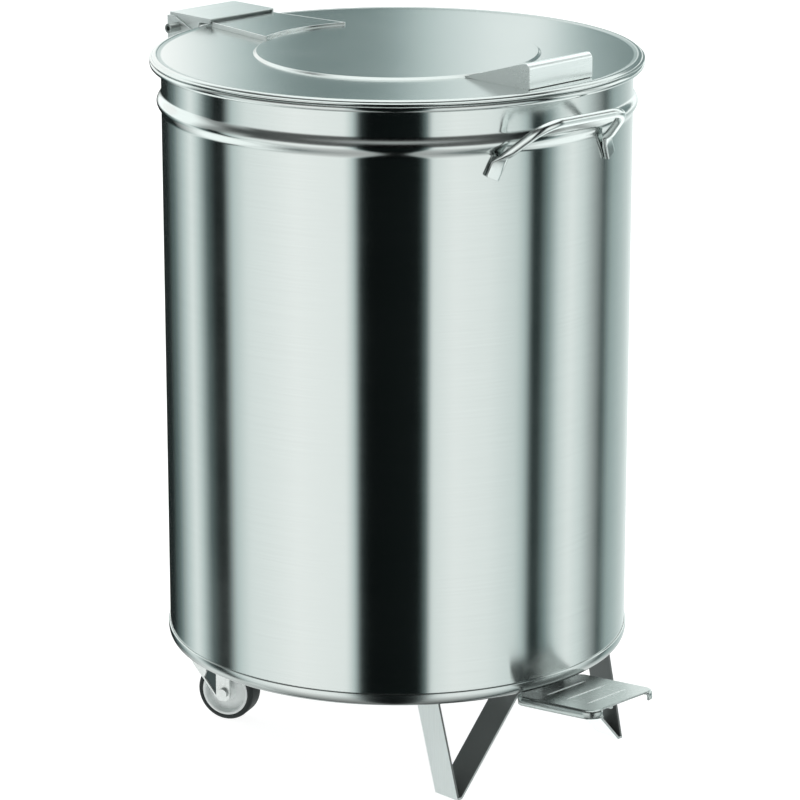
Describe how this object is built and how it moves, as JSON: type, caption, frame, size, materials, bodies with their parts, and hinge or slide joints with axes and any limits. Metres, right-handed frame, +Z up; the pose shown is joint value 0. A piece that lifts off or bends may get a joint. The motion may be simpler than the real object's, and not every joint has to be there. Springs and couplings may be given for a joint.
{
  "type": "pedal waste bin",
  "caption": "Round stainless-steel pedal bin with a hinged lid, carry handle, strap feet, rear swivel castors and a lift-out inner bucket.",
  "frame": {"origin": "middle of the bin's bounding box at floor level, with the drum axis 11.6 mm towards the rear", "axes": "+Z up from the floor, the pedal faces -Y, the lid hinge is at +Y"},
  "size_m": [0.398, 0.4949, 0.5899],
  "materials": {
    "stainless": "satin stainless sheet, fine horizontal brushing",
    "galvanised": "galvanised sheet with a soft spangle",
    "zinc_plate": "bright zinc-plated pressed steel",
    "fastener": "plain steel pins, rivets and nuts, slightly dull",
    "wheel_hub": "light grey moulded plastic",
    "rubber": "dark grey rubber",
    "nylon": "natural nylon bushes"
  },
  "bodies": {
    "bin": {"drum": "stainless", "base_pan": "stainless", "inner_bucket": "galvanised", "bucket_bail": "galvanised", "bail_grip": "rubber", "carry_handle": "stainless", "hinge_bracket": "stainless", "bracket_rivets": "fastener", "hinge_pin": "fastener", "hinge_nut": "fastener", "rod_guide": "stainless", "guide_bush": "nylon", "foot_left": "stainless", "foot_right": "stainless", "foot_rivets": "fastener", "pedal_bracket": "stainless", "pedal_rivets": "fastener", "pivot_pin": "fastener", "pivot_clips": "fastener", "castor_plate_left": "zinc_plate", "castor_plate_right": "zinc_plate", "castor_screws": "fastener", "ball_race_left": "zinc_plate", "ball_race_right": "zinc_plate", "kingpin_left": "fastener", "kingpin_right": "fastener", "guide_rivets": "fastener"},
    "lid": {"lid_shell": "stainless", "lid_handle": "stainless", "lid_strap": "stainless", "hinge_channel": "stainless", "hinge_bushes": "nylon", "drive_pin": "fastener", "drive_clips": "fastener"},
    "rod": {"push_rod": "fastener", "rod_head": "fastener", "rod_foot": "fastener", "rod_locknuts": "fastener"},
    "pedal": {"pedal_lever": "stainless", "pedal_tread": "stainless", "lever_bush": "nylon", "link_pin": "fastener", "link_clips": "fastener"},
    "swivel_left": {"fork_left": "zinc_plate", "axle_left": "fastener", "axle_nut_left": "fastener", "wheel_bush_left": "fastener"},
    "wheel_left": {"hub_left": "wheel_hub", "tyre_left": "rubber"},
    "swivel_right": {"fork_right": "zinc_plate", "axle_right": "fastener", "axle_nut_right": "fastener", "wheel_bush_right": "fastener"},
    "wheel_right": {"hub_right": "wheel_hub", "tyre_right": "rubber"}
  },
  "joints": [
    {"name": "lid_hinge", "type": "hinge", "parent": "bin", "child": "lid", "pos_m": [0, 0.23417, 0.5658], "axis": [-1, 0, 0], "range_deg": [0, 75]},
    {"name": "rod_slide", "type": "slide", "parent": "bin", "child": "rod", "axis": [0, 0, 1], "range_m": [0, 0.02031]},
    {"name": "pedal_pivot", "type": "hinge", "parent": "bin", "child": "pedal", "pos_m": [0, 0.08057, 0.04], "axis": [1, 0, 0], "range_deg": [0, 8.4]},
    {"name": "swivel_left", "type": "hinge", "parent": "bin", "child": "swivel_left", "pos_m": [-0.1086, 0.12927, 0.077], "axis": [0, 0, 1], "continuous": true},
    {"name": "wheel_spin_left", "type": "hinge", "parent": "swivel_left", "child": "wheel_left", "pos_m": [-0.10079, 0.11086, 0.025], "axis": [-0.9205, -0.3907, 0], "continuous": true},
    {"name": "swivel_right", "type": "hinge", "parent": "bin", "child": "swivel_right", "pos_m": [0.1086, 0.12927, 0.077], "axis": [0, 0, 1], "continuous": true},
    {"name": "wheel_spin_right", "type": "hinge", "parent": "swivel_right", "child": "wheel_right", "pos_m": [0.11641, 0.11086, 0.025], "axis": [-0.9205, -0.3907, 0], "continuous": true}
  ],
  "couplings": [
    {"joint": "rod_slide", "follows": "lid_hinge", "m_per_rad": 0.01544},
    {"joint": "pedal_pivot", "follows": "lid_hinge", "ratio": 0.11131}
  ]
}
